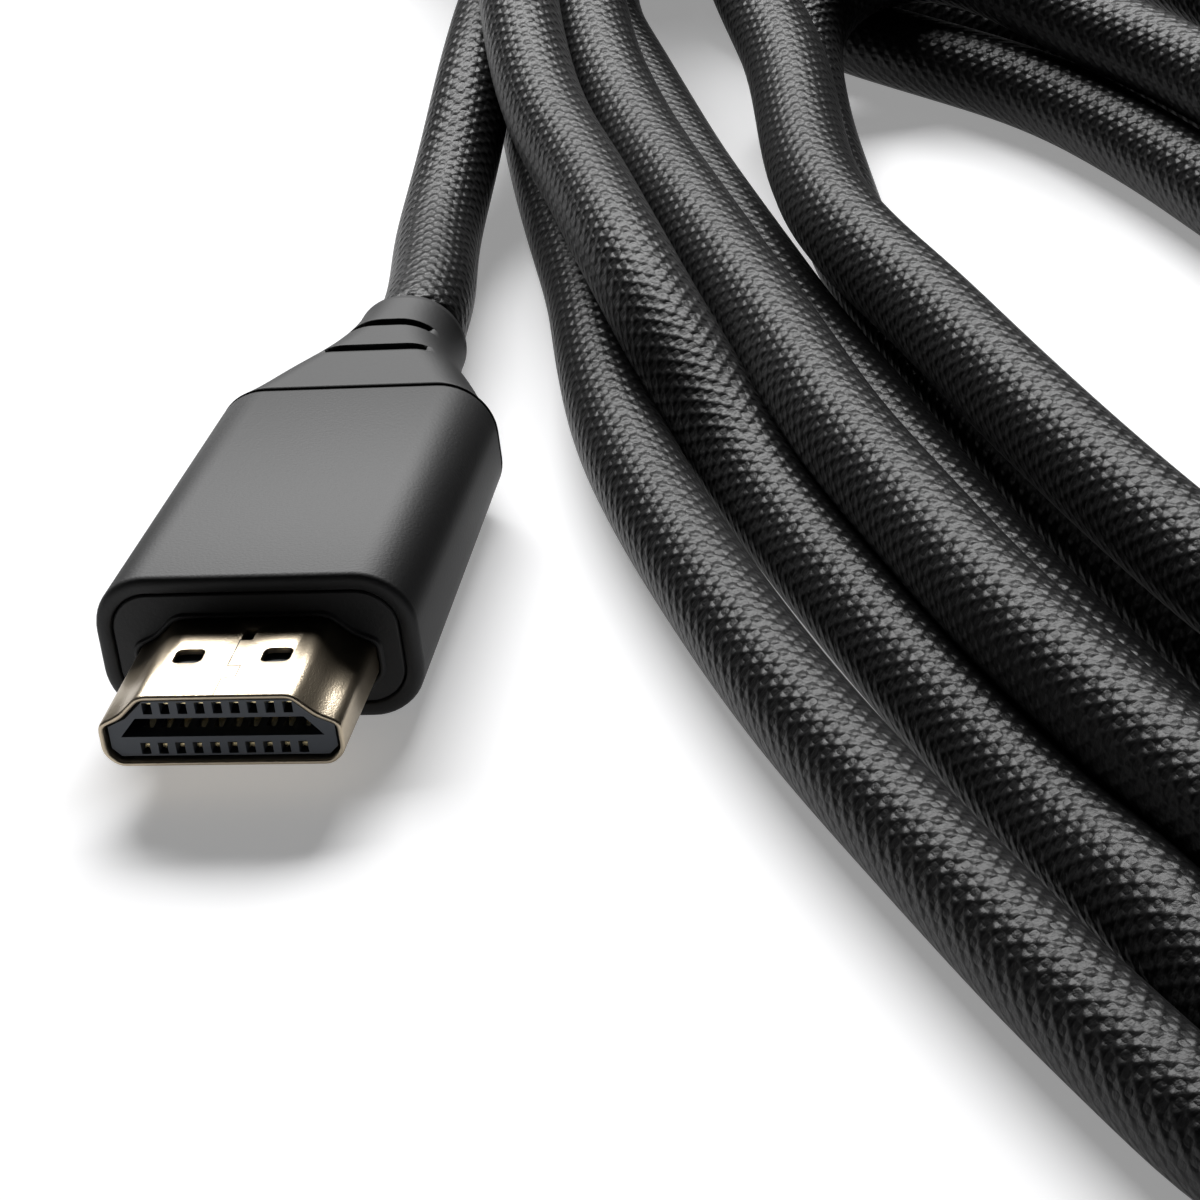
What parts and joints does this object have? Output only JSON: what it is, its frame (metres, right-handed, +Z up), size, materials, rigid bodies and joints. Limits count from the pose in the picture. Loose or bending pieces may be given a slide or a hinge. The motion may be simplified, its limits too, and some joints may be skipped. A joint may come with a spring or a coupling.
{
  "type": "hdmi cable",
  "caption": "Round braided black cable with a sleeved, D-shaped metal video plug on each end, lying as a flat coil that a strap ties at its waist.",
  "frame": {"origin": "on the floor, under the middle of plug A's housing, on the housing's flat underside", "axes": "+Z up from the floor; +Y along the coil's long side, from the end near plug A's mouth towards the tie; plug A's mouth points 21.4 degrees to the -X side of -Y"},
  "size_m": [0.1127, 0.2918, 0.0216],
  "materials": {
    "shell_metal": "satin, pale champagne gold plating",
    "contact_metal": "gold plated",
    "insulator_plastic": "matte, dark blue-grey",
    "housing_plastic": "fine-grained matte black",
    "core_plastic": "fine-grained matte black",
    "boot_plastic": "smooth matte black",
    "braid": "woven black nylon",
    "tie_fabric": "napped black"
  },
  "bodies": {
    "root": {"plug_a_shell": "shell_metal", "plug_a_insulator": "insulator_plastic", "plug_a_housing": "housing_plastic", "plug_a_core": "core_plastic", "plug_a_boot": "boot_plastic", "plug_a_contact_01": "contact_metal", "plug_a_contact_02": "contact_metal", "plug_a_contact_03": "contact_metal", "plug_a_contact_04": "contact_metal", "plug_a_contact_05": "contact_metal", "plug_a_contact_06": "contact_metal", "plug_a_contact_07": "contact_metal", "plug_a_contact_08": "contact_metal", "plug_a_contact_09": "contact_metal", "plug_a_contact_10": "contact_metal", "plug_a_contact_11": "contact_metal", "plug_a_contact_12": "contact_metal", "plug_a_contact_13": "contact_metal", "plug_a_contact_14": "contact_metal", "plug_a_contact_15": "contact_metal", "plug_a_contact_16": "contact_metal", "plug_a_contact_17": "contact_metal", "plug_a_contact_18": "contact_metal", "plug_a_contact_19": "contact_metal", "plug_b_shell": "shell_metal", "plug_b_insulator": "insulator_plastic", "plug_b_housing": "housing_plastic", "plug_b_core": "core_plastic", "plug_b_boot": "boot_plastic", "plug_b_contact_01": "contact_metal", "plug_b_contact_02": "contact_metal", "plug_b_contact_03": "contact_metal", "plug_b_contact_04": "contact_metal", "plug_b_contact_05": "contact_metal", "plug_b_contact_06": "contact_metal", "plug_b_contact_07": "contact_metal", "plug_b_contact_08": "contact_metal", "plug_b_contact_09": "contact_metal", "plug_b_contact_10": "contact_metal", "plug_b_contact_11": "contact_metal", "plug_b_contact_12": "contact_metal", "plug_b_contact_13": "contact_metal", "plug_b_contact_14": "contact_metal", "plug_b_contact_15": "contact_metal", "plug_b_contact_16": "contact_metal", "plug_b_contact_17": "contact_metal", "plug_b_contact_18": "contact_metal", "plug_b_contact_19": "contact_metal", "cable_lead_a": "braid", "cable_coil": "braid", "cable_lead_b": "braid", "coil_tie": "tie_fabric"}
  },
  "joints": []
}
